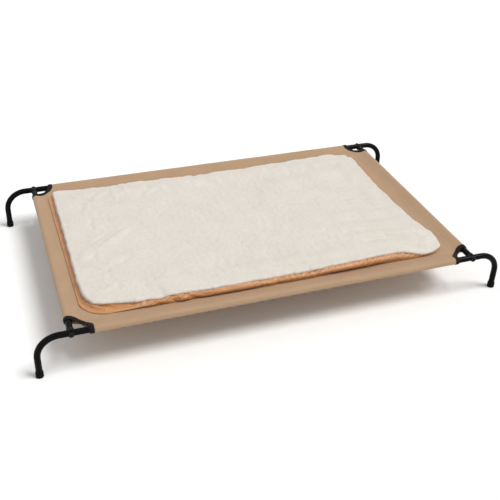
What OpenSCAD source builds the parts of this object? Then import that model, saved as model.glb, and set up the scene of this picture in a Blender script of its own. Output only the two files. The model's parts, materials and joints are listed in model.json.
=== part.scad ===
// Raised pet cot: a bolted steel tube frame, a canvas bed stretched by its edge sleeves, a loose fleece pad
// Millimetres, +X along the bed, +Y to the back, +Z up, origin on the floor under the middle of the bed

/* [Frame] */
// Distance between the centre lines of the two end rails
frame_length = 1067; // [800:1:1400]
// Distance between the centre lines of the two side rails
frame_width = 705; // [500:1:950]
// Height of the rails' centre lines above the floor
rail_height = 110; // [90:1:220]
// Outer diameter of every steel tube
tube_d = 16; // [15:0.2:22]
// Wall of every steel tube
tube_wall = 1.2; // [0.9:0.02:1.5]

/* [Legs] */
// How far a leg's upright stands outside the end rail's centre line
leg_reach = 82; // [70:1:130]
// Radius of a leg's bend, at the centre of the tube
bend_radius = 55; // [40:1:66]
// How far a leg runs in past the end rail's centre line to its joint with the side rail
leg_tail = 110; // [80:1:150]
// Length of the reduced end that plugs into the side rail
spigot_length = 60; // [40:1:90]
// Length of the neck between the full diameter and the reduced end
neck_length = 5; // [3:0.5:10]
// Gap on the diameter between a reduced end and the side rail's bore
spigot_clearance = 0.2; // [0.1:0.05:0.4]

/* [Foot caps] */
// Wall of a cap around the leg
cap_wall = 1.5; // [1:0.1:3]
// Height of a cap
cap_height = 14; // [10:1:30]
// Thickness of a cap's sole, under the leg
cap_sole = 4; // [2:0.5:6]
// Rounding of a cap's rim and sole
cap_round = 0.7; // [0.3:0.1:0.9]
// Gap between a cap's wall and the leg
cap_clearance = 0.05; // [0.02:0.01:0.2]

/* [Corner joints] */
// Thickness of a saddle plug between the leg and the end of the end rail
saddle_web = 3; // [2:0.5:6]
// Thickness of the saddle's lips over and under the leg
saddle_lip = 1.2; // [0.8:0.1:3]
// Gap between a saddle and the leg that it cups
saddle_clearance = 0.1; // [0.05:0.05:0.3]
// Length of a plug inside the end rail
plug_length = 28; // [24:1:45]
// Gap on the diameter between a plug and the end rail's bore
plug_clearance = 0.2; // [0.1:0.05:0.4]
// Diameter of a corner bolt
bolt_d = 6; // [5:0.2:7.4]
// Gap on the diameter between a bolt and the holes that it passes through
bolt_clearance = 0.4; // [0.2:0.1:1]
// Diameter of a bolt's head
bolt_head_d = 15; // [12:0.5:18]
// Height of a bolt's domed head
bolt_head_h = 4; // [3:0.5:6]
// Height of the straight rim under that dome
bolt_rim_h = 1; // [0.5:0.1:1.5]
// Hexagon socket of a bolt's head, across the flats
bolt_socket = 4; // [3:0.5:5]
// Depth of that socket
bolt_socket_depth = 2.2; // [1.5:0.1:2.6]
// Wall of a threaded insert around the bolt
insert_wall = 2; // [1.5:0.1:2.4]
// Length of a threaded insert
insert_length = 14; // [10:1:20]
// Gap around a bolt in its insert's thread, around the insert and under the bolt's head
thread_clearance = 0.05; // [0.02:0.01:0.1]

/* [Canvas bed] */
// Thickness of the coated canvas
cloth = 1; // [0.6:0.1:1.5]
// Slack of a sleeve around its rail
sleeve_clearance = 0.4; // [0.2:0.1:1]
// Distance from a rail's centre line in to the edge of its sleeve's hem
sleeve_depth = 35; // [30:1:60]
// Width of the flat, stitched hem at the inner edge of a sleeve
hem_width = 8; // [5:0.5:14]
// Distance from a corner bolt to the mouths of the sleeves beside it
sleeve_mouth = 43; // [36:1:70]
// How far a mouth runs square past the round of its sleeve before the corner is cut off slantwise
mouth_margin = 0.6; // [0:0.1:4]
// Width of the binding tape on the cut corners
tape_width = 11; // [6:0.5:16]
// Thickness of the binding tape
tape = 0.8; // [0.5:0.1:1.2]
// Gap between the tape and the canvas that it binds
tape_clearance = 0.05; // [0.02:0.01:0.1]

/* [Pad] */
// Gap between the pad's ends and the hems of the end sleeves
pad_end_gap = 13; // [2:0.5:60]
// Gap between the pad's long sides and the hems of the side sleeves
pad_side_gap = 2; // [1:0.5:60]
// Radius of the pad's corners
pad_corner_radius = 45; // [20:1:80]
// How far the pad's ends are drawn in between the corners
pad_end_draw = 10; // [0:1:25]
// How far the pad's long sides are drawn in between the corners
pad_side_draw = 14; // [0:1:25]
// Height of the seam between fleece and backing above the pad's underside
pad_seam_height = 13; // [8:0.5:16]
// Thickness of the pad just inside its rounded rim
pad_edge_height = 20; // [18:0.5:30]
// How much thicker the pad is in the middle
pad_crown = 5; // [0:0.5:12]
// Width of the rounded rim
pad_rim = 18; // [8:0.5:30]
// Thickness of the fleece with its pile
fleece = 7; // [4:0.5:12]
// Thickness of the fleece where it is pinched in the seam
fleece_seam = 3; // [1.5:0.5:4]
// Thickness of the satin backing
satin = 1.5; // [0.8:0.1:2.5]
// Gap between the layers of the pad, and between the pad and the bed
layer_gap = 0.3; // [0.1:0.05:0.5]

/* [Hidden] */
$fn = 64;
overshoot = 1;
half_length = frame_length / 2;
half_width = frame_width / 2;
tube_bore = tube_d - 2 * tube_wall;

joint_x = half_length - leg_tail;
bend_x = half_length + leg_reach - bend_radius;
spigot_d = tube_bore - spigot_clearance;

end_rail_half = half_width - tube_d / 2 - saddle_web;
plug_d = tube_bore - plug_clearance;
bolt_hole_d = bolt_d + bolt_clearance;
insert_d = bolt_d + 2 * insert_wall;
insert_start = plug_length - insert_length;
bolt_length = tube_d + thread_clearance + saddle_web + plug_length;

sleeve_r = tube_d / 2 + sleeve_clearance + cloth;
hem_start = sleeve_depth - hem_width;
sleeve_steps = 20;
// Direction, from the tube's centre, of the line where a round of radius r turns into its flank
function flank_angle(r, h) = acos(r / norm([hem_start, h])) + atan2(h, hem_start);
sleeve_box = 4 * sleeve_r;
panel_top = rail_height + cloth / 2;

pad_half_length = half_length - sleeve_depth - pad_end_gap;
pad_half_width = half_width - sleeve_depth - pad_side_gap;
pad_arc_steps = 3;
pad_side_steps = 7;
// Distances of the pad's mesh rings from its edge: in rims for the outer ones, then in half widths
rim_ring_places = [0, 1 / 6, 1 / 2, 1, 5 / 2];
middle_ring_places = [1 / 3, 2 / 3];
pad_rings = concat(rim_ring_places * pad_rim, middle_ring_places * pad_half_width);

// Name, side along X and along Y, and the turns of the two sleeves that meet there
CORNERS = [
    ["front_left", -1, -1, 90, 0],
    ["front_right", 1, -1, 180, 90],
    ["back_left", -1, 1, 0, 270],
    ["back_right", 1, 1, 270, 180]
];
// Name and turn of each sleeve
SLEEVES = [["left", 0], ["front", 90], ["right", 180], ["back", 270]];

// Placing

// Children made for the corner at +X, +Y go to the corner on the given sides
module to_corner(side_x, side_y) {
    mirror([side_x < 0 ? 1 : 0, 0, 0])
        mirror([0, side_y < 0 ? 1 : 0, 0])
            children();
}

// Children made along +Y for a rail at the origin, with the bed on its +X side, go to the rail at that turn
module to_rail(turn) {
    across = turn % 180 == 0 ? half_length : half_width;
    rotate([0, 0, turn])
        translate([-across, 0, rail_height])
            children();
}

// Half the distance between the rails that cross the rail at that turn
function half_run(turn) = turn % 180 == 0 ? half_width : half_length;

// A corner bolt's axis: children that point along +Z from its outer end point inwards along the end rail
module along_bolt() {
    translate([half_length, half_width + tube_d / 2, rail_height])
        rotate([90, 0, 0])
            children();
}

// Steel frame

module tube_section(outer = tube_d) {
    difference() {
        circle(d = outer);
        circle(d = outer - 2 * tube_wall);
    }
}

module side_rail(side_y) {
    color("#1b1b1c")
        translate([-joint_x, side_y * half_width, rail_height])
            rotate([0, 90, 0])
                linear_extrude(2 * joint_x)
                    tube_section();
}

module end_rail(side_x) {
    color("#1b1b1c")
        translate([side_x * half_length, end_rail_half, rail_height])
            rotate([90, 0, 0])
                linear_extrude(2 * end_rail_half)
                    tube_section();
}

module leg_neck() {
    difference() {
        cylinder(d1 = spigot_d, d2 = tube_d, h = neck_length);
        cylinder(d1 = spigot_d - 2 * tube_wall, d2 = tube_bore, h = neck_length);
    }
}

module leg_tube() {
    translate([joint_x, half_width, rail_height])
        rotate([0, 90, 0]) {
            translate([0, 0, -spigot_length])
                linear_extrude(spigot_length)
                    tube_section(spigot_d);
            leg_neck();
            translate([0, 0, neck_length])
                linear_extrude(bend_x - joint_x - neck_length)
                    tube_section();
        }
    translate([bend_x, half_width, rail_height - bend_radius])
        rotate([90, 0, 0])
            rotate_extrude(angle = 90)
                translate([bend_radius, 0])
                    tube_section();
    translate([bend_x + bend_radius, half_width, cap_sole])
        linear_extrude(rail_height - bend_radius - cap_sole)
            tube_section();
}

module leg(side_x, side_y) {
    color("#1b1b1c")
        to_corner(side_x, side_y)
            difference() {
                leg_tube();
                along_bolt()
                    translate([0, 0, -overshoot])
                        cylinder(d = bolt_hole_d, h = tube_d + 2 * overshoot);
            }
}

// A ring's half section: a square with its outer corners rounded
module rounded_half(radius, height, rounding) {
    square([radius - rounding, height]);
    translate([0, rounding])
        square([radius, height - 2 * rounding]);
    for (level = [rounding, height - rounding])
        translate([radius - rounding, level])
            circle(r = rounding);
}

module foot_cap(side_x, side_y) {
    socket_d = tube_d + 2 * cap_clearance;
    color("#151515")
        to_corner(side_x, side_y)
            translate([half_length + leg_reach, half_width, 0])
                difference() {
                    rotate_extrude()
                        rounded_half(tube_d / 2 + cap_clearance + cap_wall, cap_height, cap_round);
                    translate([0, 0, cap_sole])
                        cylinder(d = socket_d, h = cap_height);
                }
}

// Corner joints

module saddle_plug(side_x, side_y) {
    cup_d = tube_d + 2 * (saddle_clearance + saddle_lip);
    rail_end = tube_d + saddle_web;
    color("#242424")
        to_corner(side_x, side_y)
            along_bolt()
                difference() {
                    union() {
                        translate([0, 0, tube_d / 2])
                            cylinder(d = cup_d, h = tube_d / 2 + saddle_web);
                        translate([0, 0, rail_end])
                            cylinder(d = plug_d, h = plug_length);
                    }
                    translate([-cup_d, 0, tube_d / 2])
                        rotate([0, 90, 0])
                            cylinder(d = tube_d + 2 * saddle_clearance, h = 2 * cup_d);
                    cylinder(d = bolt_hole_d, h = rail_end + plug_length);
                    translate([0, 0, rail_end + insert_start])
                        cylinder(d = insert_d + 2 * thread_clearance, h = insert_length + overshoot);
                }
}

module insert(side_x, side_y) {
    color("#b59a5b")
        to_corner(side_x, side_y)
            along_bolt()
                translate([0, 0, tube_d + saddle_web + insert_start])
                    linear_extrude(insert_length)
                        difference() {
                            circle(d = insert_d);
                            circle(d = bolt_d + 2 * thread_clearance);
                        }
}

module bolt_head() {
    dome_h = bolt_head_h - bolt_rim_h;
    dome_r = (pow(bolt_head_d / 2, 2) + pow(dome_h, 2)) / (2 * dome_h);
    cylinder(d = bolt_head_d, h = bolt_rim_h);
    translate([0, 0, bolt_rim_h])
        intersection() {
            cylinder(d = bolt_head_d, h = dome_h);
            translate([0, 0, dome_h - dome_r])
                sphere(r = dome_r);
        }
}

module bolt(side_x, side_y) {
    color("#1f1f20")
        to_corner(side_x, side_y)
            along_bolt()
                translate([0, 0, -thread_clearance]) {
                    cylinder(d = bolt_d, h = bolt_length);
                    mirror([0, 0, 1])
                        difference() {
                            bolt_head();
                            translate([0, 0, bolt_head_h - bolt_socket_depth])
                                cylinder(d = bolt_socket / cos(30), h = bolt_head_h, $fn = 6);
                        }
                }
}

// Canvas bed

// Round of a sleeve's section about the tube, from the upper flank over the outside to the lower flank
function round_points(r, angle) = [
    for (step = [0 : sleeve_steps])
        let (turned = angle + (360 - 2 * angle) * step / sleeve_steps)
        [r * cos(turned), r * sin(turned)]
];

// Section of a sleeve's outside, grown by a layer laid on it: the round, two flanks and a flat hem
module sleeve_outside(grow = 0) {
    r = sleeve_r + grow;
    h = cloth + grow;
    hem = [[hem_start, -h], [sleeve_depth, -h], [sleeve_depth, h], [hem_start, h]];
    polygon(concat(round_points(r, flank_angle(r, h)), hem));
}

module sleeve_hollow() {
    r = sleeve_r - cloth;
    angle = flank_angle(sleeve_r, cloth);
    polygon(concat(round_points(r, angle), [[r / cos(angle), 0]]));
}

// Plan of a sleeve before its corners are cut: mitred at the hem where two sleeves meet
module mitred_plan(half) {
    outer = sleeve_r + tape + overshoot;
    polygon([
        [-outer, half + outer],
        [sleeve_depth, half - sleeve_depth],
        [sleeve_depth, sleeve_depth - half],
        [-outer, -half - outer]
    ]);
}

// Plan of what is cut off a corner: square across the rail, then slantwise, moved into the cloth by a shift
module corner_cut(half, shift = 0) {
    outer = 2 * sleeve_box;
    knee = sleeve_r + mouth_margin + shift * tan(22.5);
    polygon([
        [-outer, half - sleeve_mouth - shift],
        [knee, half - sleeve_mouth - shift],
        [sleeve_mouth + shift, half - knee],
        [sleeve_mouth + shift, half + outer],
        [-outer, half + outer]
    ]);
}

module along_rail(half) {
    rotate([90, 0, 0])
        linear_extrude(2 * half, center = true)
            children();
}

module sleeve(turn) {
    half = half_run(turn);
    color("#bb9d7f")
        to_rail(turn)
            intersection() {
                along_rail(half)
                    difference() {
                        sleeve_outside();
                        sleeve_hollow();
                    }
                linear_extrude(sleeve_box, center = true)
                    difference() {
                        mitred_plan(half);
                        corner_cut(half);
                        mirror([0, 1, 0])
                            corner_cut(half);
                    }
            }
}

// The tape on one end of a sleeve, at +Y: a band laid over the cloth, and a lip round its cut edge
module tape_end(half) {
    lip = tape_clearance + tape;
    intersection() {
        along_rail(half)
            difference() {
                sleeve_outside(tape_clearance + tape);
                sleeve_outside(tape_clearance);
            }
        linear_extrude(sleeve_box, center = true)
            intersection() {
                mitred_plan(half);
                difference() {
                    corner_cut(half, tape_width);
                    corner_cut(half, -lip);
                }
            }
    }
    intersection() {
        along_rail(half)
            difference() {
                sleeve_outside(tape_clearance + tape);
                sleeve_hollow();
            }
        linear_extrude(sleeve_box, center = true)
            intersection() {
                mitred_plan(half);
                difference() {
                    corner_cut(half, -tape_clearance);
                    corner_cut(half, -lip);
                }
            }
    }
}

module binding(turn_ahead, turn_behind) {
    color("#17120f") {
        to_rail(turn_ahead)
            tape_end(half_run(turn_ahead));
        to_rail(turn_behind)
            mirror([0, 1, 0])
                tape_end(half_run(turn_behind));
    }
}

module canvas_panel() {
    color("#bb9d7f")
        translate([0, 0, rail_height])
            cube([frame_length - 2 * sleeve_depth, frame_width - 2 * sleeve_depth, cloth], center = true);
}

// Pad

// Part of a quarter round, from 0 at the pad's edge to 1 where the rim ends
function rim_round(inset) = sqrt(1 - pow(1 - min(inset / pad_rim, 1), 2));

// Swell of the middle, from 0 at the edge to 1 at the middle
function crown_swell(inset) = 1 - pow(1 - min(inset / pad_half_width, 1), 2);

// Heights above the pad's underside, by the distance from the pad's edge
function backing_low(inset) = (pad_seam_height - satin) * (1 - rim_round(inset));
function backing_high(inset) = backing_low(inset) + satin;
function fleece_high(inset) = pad_seam_height + layer_gap + fleece_seam
    + (pad_edge_height - pad_seam_height - layer_gap - fleece_seam) * rim_round(inset)
    + pad_crown * crown_swell(inset);
function fleece_low(inset) = fleece_high(inset) - fleece_seam - (fleece - fleece_seam) * rim_round(inset);

// The pad's edge: four arcs joined by four straight runs, then drawn in between the corners
function corner_arc(quarter) = [
    for (step = [0 : pad_arc_steps])
        let (angle = 90 * (quarter + step / pad_arc_steps))
        let (centre_x = (quarter == 0 || quarter == 3 ? 1 : -1) * (pad_half_length - pad_corner_radius))
        let (centre_y = (quarter < 2 ? 1 : -1) * (pad_half_width - pad_corner_radius))
        [centre_x + pad_corner_radius * cos(angle), centre_y + pad_corner_radius * sin(angle)]
];
function run_between(start, end) = [
    for (step = [1 : pad_side_steps - 1])
        start + (end - start) * step / pad_side_steps
];
function drawn_in(p) = [
    p.x - pad_end_draw * (p.x / pad_half_length) * (1 - pow(p.y / pad_half_width, 2)),
    p.y - pad_side_draw * (p.y / pad_half_width) * (1 - pow(p.x / pad_half_length, 2))
];
pad_edge = [
    for (quarter = [0 : 3])
        let (arc = corner_arc(quarter))
        let (next = corner_arc((quarter + 1) % 4))
        each [for (p = concat(arc, run_between(arc[pad_arc_steps], next[0]))) drawn_in(p)]
];
function ring_points(inset, z) = [
    for (p = pad_edge) [p.x * (1 - inset / pad_half_length), p.y * (1 - inset / pad_half_width), z]
];

// Two triangles for each step round between two rings of points
function band(low, high, count) = [
    for (i = [0 : count - 1])
        let (j = (i + 1) % count)
        each [[low + i, high + i, high + j], [low + i, high + j, low + j]]
];

// A closed layer of the pad between its lower and upper points, each set given ring by ring, then its middle
module pad_layer(lower, upper, rings) {
    count = len(pad_edge);
    top = len(lower);
    last = (rings - 1) * count;
    translate([0, 0, panel_top + layer_gap])
        polyhedron(
            points = concat(lower, upper),
            faces = concat(
                [for (k = [0 : rings - 2]) each band((k + 1) * count, k * count, count)],
                [for (k = [0 : rings - 2]) each band(top + k * count, top + (k + 1) * count, count)],
                [for (i = [0 : count - 1]) [last + i, last + (i + 1) % count, top - 1]],
                [for (i = [0 : count - 1]) [top + last + i, 2 * top - 1, top + last + (i + 1) % count]],
                band(0, top, count)
            )
        );
}

module pad_backing() {
    color("#c68b55")
        pad_layer(
            [for (e = pad_rings) each ring_points(e, backing_low(e)), [0, 0, backing_low(pad_half_width)]],
            [for (e = pad_rings) each ring_points(e, backing_high(e)), [0, 0, backing_high(pad_half_width)]],
            len(pad_rings)
        );
}

module pad_fill() {
    inner_rings = [for (k = [1 : len(pad_rings) - 1]) pad_rings[k]];
    floor_z = backing_high(pad_half_width) + layer_gap;
    top_z = fleece_low(pad_half_width) - layer_gap;
    color("#efece6")
        pad_layer(
            [for (e = inner_rings) each ring_points(e, backing_high(e) + layer_gap), [0, 0, floor_z]],
            [for (e = inner_rings) each ring_points(e, fleece_low(e) - layer_gap), [0, 0, top_z]],
            len(inner_rings)
        );
}

module pad_fleece() {
    color("#e8dfd5")
        pad_layer(
            [for (e = pad_rings) each ring_points(e, fleece_low(e)), [0, 0, fleece_low(pad_half_width)]],
            [for (e = pad_rings) each ring_points(e, fleece_high(e)), [0, 0, fleece_high(pad_half_width)]],
            len(pad_rings)
        );
}

side_rail(-1);  // front_rail
side_rail(1);  // back_rail
end_rail(-1);  // left_end_rail
end_rail(1);  // right_end_rail
for (c = CORNERS) {
    leg(c[1], c[2]);
    foot_cap(c[1], c[2]);
    saddle_plug(c[1], c[2]);
    insert(c[1], c[2]);
    bolt(c[1], c[2]);
    binding(c[3], c[4]);
}
for (s = SLEEVES) {
    sleeve(s[1]);
}
canvas_panel();
pad_backing();
pad_fill();
pad_fleece();
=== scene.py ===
import json
import math
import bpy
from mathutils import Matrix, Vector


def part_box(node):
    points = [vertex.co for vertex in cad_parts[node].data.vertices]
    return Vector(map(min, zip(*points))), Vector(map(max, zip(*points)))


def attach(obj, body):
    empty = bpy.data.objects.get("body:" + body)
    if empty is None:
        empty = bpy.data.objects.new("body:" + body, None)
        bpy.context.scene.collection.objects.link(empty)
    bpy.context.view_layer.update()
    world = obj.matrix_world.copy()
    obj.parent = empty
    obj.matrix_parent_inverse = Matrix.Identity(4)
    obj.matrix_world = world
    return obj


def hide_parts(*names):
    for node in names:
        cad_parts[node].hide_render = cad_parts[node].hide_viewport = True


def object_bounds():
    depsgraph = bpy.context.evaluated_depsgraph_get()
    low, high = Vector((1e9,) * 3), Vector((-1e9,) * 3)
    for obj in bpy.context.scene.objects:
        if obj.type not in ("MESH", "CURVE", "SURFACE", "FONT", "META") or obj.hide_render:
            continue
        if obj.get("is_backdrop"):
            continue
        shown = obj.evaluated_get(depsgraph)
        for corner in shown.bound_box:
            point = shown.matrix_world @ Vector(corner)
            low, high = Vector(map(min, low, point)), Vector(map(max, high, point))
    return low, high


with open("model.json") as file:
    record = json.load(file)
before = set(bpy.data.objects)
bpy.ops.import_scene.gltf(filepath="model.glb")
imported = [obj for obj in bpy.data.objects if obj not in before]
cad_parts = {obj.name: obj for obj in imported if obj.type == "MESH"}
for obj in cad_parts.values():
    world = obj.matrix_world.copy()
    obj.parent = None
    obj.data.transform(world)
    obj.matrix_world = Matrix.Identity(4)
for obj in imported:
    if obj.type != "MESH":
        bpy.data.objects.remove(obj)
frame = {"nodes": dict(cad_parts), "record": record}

from types import SimpleNamespace

import bmesh
import bpy
from bpy.props import FloatProperty, FloatVectorProperty, IntProperty, PointerProperty
from bpy.types import Operator, Panel, PropertyGroup
from mathutils import Matrix, Vector, noise

bl_info = {
    "name": "Raised Pet Cot",
    "version": (1, 0, 0),
    "blender": (4, 5, 0),
    "location": "3D View > Sidebar > Cot",
    "description": "Canvas bed, corner bindings, stitching and fleece pad on a bolted tube frame",
    "category": "Object",
}

MM = 0.001
CAD_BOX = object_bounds()


# Places that come from the frame

def middle(node):
    """Middle of a frame node's box."""
    low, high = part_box(node)
    return (low + high) / 2


HALF_LENGTH = middle("right_end_rail").x
HALF_WIDTH = middle("back_rail").y
RAIL_HEIGHT = middle("front_rail").z
TUBE_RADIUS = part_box("front_rail")[1].z - RAIL_HEIGHT
PANEL_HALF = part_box("canvas_panel")[1]
SLEEVE_DEPTH = HALF_LENGTH - PANEL_HALF.x
PAD_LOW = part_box("pad_backing")[0]
PAD_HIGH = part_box("pad_fleece")[1]

# Turn of each rail about the upright axis, and the distance of its centre line from the middle
SIDES = {
    "left": (0, HALF_LENGTH),
    "front": (90, HALF_WIDTH),
    "right": (180, HALF_LENGTH),
    "back": (270, HALF_WIDTH),
}
# Each corner with its two sleeves and the end of each, along the rail, that lies at the corner
CORNERS = {
    "front_left": (("left", -1), ("front", 1)),
    "front_right": (("front", -1), ("right", 1)),
    "back_right": (("right", -1), ("back", 1)),
    "back_left": (("back", -1), ("left", 1)),
}


def rail_place(side):
    """Matrix from a rail's own axes, x into the bed and y along the rail, and half its crossing rails' span."""
    turn, across = SIDES[side]
    half = HALF_WIDTH if turn % 180 == 0 else HALF_LENGTH
    return Matrix.Rotation(math.radians(turn), 4, "Z") @ Matrix.Translation((-across, 0, RAIL_HEIGHT)), half


def linear(hex_colour):
    """Linear RGB of an sRGB hex colour such as #b6977c."""
    shares = [int(hex_colour[i:i + 2], 16) / 255 for i in (1, 3, 5)]
    return tuple(s / 12.92 if s <= 0.04045 else ((s + 0.055) / 1.055) ** 2.4 for s in shares)


# Settings that a user would change

def size(name, description, default_mm):
    """A length property whose default is given in millimetres."""
    return FloatProperty(
        name=name, description=description, default=default_mm * MM, unit="LENGTH", precision=4
    )


def angle(name, description, degrees):
    """An angle property whose default is given in degrees."""
    return FloatProperty(name=name, description=description, default=math.radians(degrees), subtype="ANGLE")


def colour(name, description, hex_colour):
    """A colour property whose default is an sRGB hex value."""
    return FloatVectorProperty(
        name=name, description=description, default=linear(hex_colour), subtype="COLOR", size=3, min=0, max=1
    )


class FrameFinishSettings(PropertyGroup):
    coat: colour("Powder coat", "Colour of the baked coat on the steel tubes", "#09090a")
    rubber: colour("Foot rubber", "Colour of the foot caps", "#0e0e0e")
    nylon: colour("Saddle nylon", "Colour of the moulded saddle plugs", "#171718")
    oxide: colour("Bolt finish", "Colour of the black oxide on the bolts", "#232325")
    brass: colour("Insert brass", "Colour of the threaded inserts", "#b59a5b")


class CanvasSettings(PropertyGroup):
    colour: colour("Canvas", "Colour of the coated canvas", "#b59576")
    thread: colour("Thread", "Colour of the sewing thread on the canvas", "#b08e6e")
    cloth: size("Cloth", "Thickness of the coated canvas", 1)
    slack: size("Slack", "Gap between a sleeve and its rail", 0.4)
    hem_width: size("Hem width", "Width of the flat, stitched hem of a sleeve", 8)
    mouth: size("Sleeve mouth", "Distance from a corner bolt to the mouths of the sleeves beside it", 43)
    knee: size("Mouth knee", "How far in from the rail a mouth runs square before it is cut slantwise", 10)
    sag: size("Sag", "How far the middle of the bed hangs below the rails' centre lines", 1.2)
    ripple: size("Ripple", "Height of the slack ripples along the sleeves", 0.5)


class BindingSettings(PropertyGroup):
    colour: colour("Binding tape", "Colour of the woven tape on the cut corners", "#0f0b09")
    width: size("Tape width", "Width of the binding tape on the cloth", 11)
    tape: size("Tape thickness", "Thickness of the binding tape", 0.7)
    crown: size("Tape crown", "How far the folded tape swells in its middle", 0.5)


class StitchSettings(PropertyGroup):
    length: size("Stitch length", "Length of thread that shows in one stitch", 3)
    pitch: size("Stitch pitch", "Distance from one stitch to the next", 4.2)
    thread: size("Thread", "Width of the sewing thread", 0.7)


class PadSettings(PropertyGroup):
    fleece: colour("Fleece", "Colour of the deep pile fleece", "#dcd4c9")
    satin: colour("Satin", "Colour of the satin backing", "#c48c5c")
    rim: size("Rim", "Width of the rounded rim", 16)
    rim_height: size("Rim height", "Height of the pad's widest line above its underside", 9)
    edge_height: size("Edge height", "Height of the pad just inside its rim, without the pile", 16)
    crown: size("Crown", "How much thicker the pad is in the middle", 4)
    pile: size("Pile", "Height of the fleece's pile", 5)
    tuft: size("Tufts", "Width of the clumps in the pile", 9)
    pucker: size("Puckers", "Height of the gathers in the satin along the seam", 2.6)
    pucker_spacing: size("Pucker spacing", "Distance between the gathers in the satin", 17)
    step: size("Cloth step", "Width of the cells of the simulated cloth", 6)
    pressure: FloatProperty(
        name="Pressure", description="Pressure of the fibre fill in the simulation", default=0.7
    )
    frames: IntProperty(name="Frames", description="Frames that the cloth is simulated for", default=20)
    reach: size("Swell limit", "How far the simulation may move a point", 4.5)


class StageSettings(PropertyGroup):
    floor: colour("Floor", "Colour of the plain floor", "#fefefd")
    key: FloatProperty(name="Key light", description="Strength of the large soft key light", default=2.14)
    fill: FloatProperty(name="Fill light", description="Strength of the soft fill light", default=0.2)
    ambient: FloatProperty(
        name="Ambient", description="Strength of the even light from all round", default=0.45
    )
    azimuth: angle("Azimuth", "Turn of the view from straight at the front", 20.3)
    elevation: angle("Elevation", "Tilt of the view down", 33.2)
    roll: angle("Roll", "Turn of the camera about its view", 1.87)
    lens: FloatProperty(
        name="Lens", description="Focal length on a 36 mm sensor", default=58.26, subtype="DISTANCE_CAMERA"
    )
    camera: FloatVectorProperty(
        name="Camera", description="Place of the camera",
        default=(-0.6544, -1.8482, 1.2993), subtype="TRANSLATION",
    )


class CotSettings(PropertyGroup):
    frame_finish: PointerProperty(type=FrameFinishSettings)
    canvas: PointerProperty(type=CanvasSettings)
    binding: PointerProperty(type=BindingSettings)
    stitch: PointerProperty(type=StitchSettings)
    pad: PointerProperty(type=PadSettings)
    stage: PointerProperty(type=StageSettings)


# Materials

# A full turn of the wave texture is two pi over twenty of its scale
WAVE_TURN = 2 * math.pi / 20


def link(tree, value, socket):
    """Give a socket a value, an output of another node, or a node's first output."""
    if isinstance(value, bpy.types.Node):
        value = next(output for output in value.outputs if output.enabled)
    if isinstance(value, bpy.types.NodeSocket):
        tree.links.new(value, socket)
    else:
        socket.default_value = value


def add_node(tree, kind, inputs=None, **settings):
    """Add a node; settings are its own properties, and inputs are what its sockets are given."""
    node = tree.nodes.new(kind)
    for name, value in settings.items():
        setattr(node, name, value)
    for name, value in (inputs or {}).items():
        link(tree, value, node.inputs[name])
    return node


def new_material(name, coordinates="Object"):
    """A new material, its node tree and the coordinates that its patterns lie in."""
    material = bpy.data.materials.new(name)
    material.use_nodes = True
    tree = material.node_tree
    return material, tree, add_node(tree, "ShaderNodeTexCoord").outputs[coordinates]


def finished(material, sockets, dull=None, bump=None):
    """The material, its shader's sockets set; dull and bump are inputs of its roughness and bump nodes."""
    material.use_nodes = True
    tree = material.node_tree
    if dull:
        sockets["Roughness"] = add_node(tree, "ShaderNodeMapRange", dull)
    if bump:
        sockets["Normal"] = add_node(tree, "ShaderNodeBump", bump)
    for name, value in sockets.items():
        link(tree, value, tree.nodes["Principled BSDF"].inputs[name])
    return material


def shades(tone, low, high):
    """The two ends of a mix between a darker and a lighter share of a colour."""
    return {end: (*[min(1.0, c * share) for c in tone], 1) for end, share in (("A", low), ("B", high))}


def powder_coated_steel(tone):
    """Polyester powder baked on steel tube: black, semi-gloss, its orange peel breaks up the highlights."""
    material, tree, place = new_material("powder_coated_steel")
    # Orange peel is about 0.8 mm wide; it is drawn 2 mm wide to show
    peel = add_node(tree, "ShaderNodeTexNoise", {"Vector": place, "Scale": 1 / (2 * MM), "Detail": 2})
    # Handling leaves faint duller patches a few centimetres wide
    patches = add_node(tree, "ShaderNodeTexNoise", {"Vector": place, "Scale": 1 / (45 * MM), "Detail": 4})
    tint = add_node(tree, "ShaderNodeMix", {"Factor": patches, **shades(tone, 0.8, 1.5)}, data_type="RGBA")
    return finished(
        material, {"Base Color": tint, "IOR": 1.5, "Specular IOR Level": 0.06},
        dull={"Value": patches, "From Min": 0.3, "From Max": 0.7, "To Min": 0.2, "To Max": 0.32},
        bump={"Height": peel, "Strength": 0.25, "Distance": 0.1 * MM},
    )


def moulded_polymer(name, tone, rough, grain_mm):
    """Rubber or nylon from a spark-eroded mould: black and matt, with a fine even grain."""
    material, tree, place = new_material(name)
    grain = add_node(tree, "ShaderNodeTexNoise", {"Vector": place, "Scale": 1 / (grain_mm * MM), "Detail": 3})
    tint = add_node(tree, "ShaderNodeMix", {"Factor": grain, **shades(tone, 0.8, 1.25)}, data_type="RGBA")
    return finished(
        material, {"Base Color": tint, "IOR": 1.5, "Specular IOR Level": 0.08},
        dull={"Value": grain, "To Min": rough - 0.1, "To Max": rough + 0.1},
        bump={"Height": grain, "Strength": 0.4, "Distance": 0.1 * MM},
    )


def machined_metal(name, tone, rough, groove_mm):
    """Turned steel or brass: metallic, with fine rings about the bolt's axis."""
    material, tree, place = new_material(name)
    rings = add_node(tree, "ShaderNodeTexWave", {
        "Vector": place, "Scale": WAVE_TURN / (groove_mm * MM), "Distortion": 0.6, "Detail Scale": 2
    }, bands_direction="Y").outputs["Fac"]
    stain = add_node(tree, "ShaderNodeTexNoise", {"Vector": place, "Scale": 1 / (3 * MM), "Detail": 3})
    tint = add_node(tree, "ShaderNodeMix", {"Factor": stain, **shades(tone, 0.75, 1.2)}, data_type="RGBA")
    return finished(
        material, {"Base Color": tint, "Metallic": 1.0},
        dull={"Value": stain, "To Min": rough - 0.08, "To Max": rough + 0.08},
        bump={"Height": rings, "Strength": 0.2, "Distance": 0.05 * MM},
    )


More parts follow.
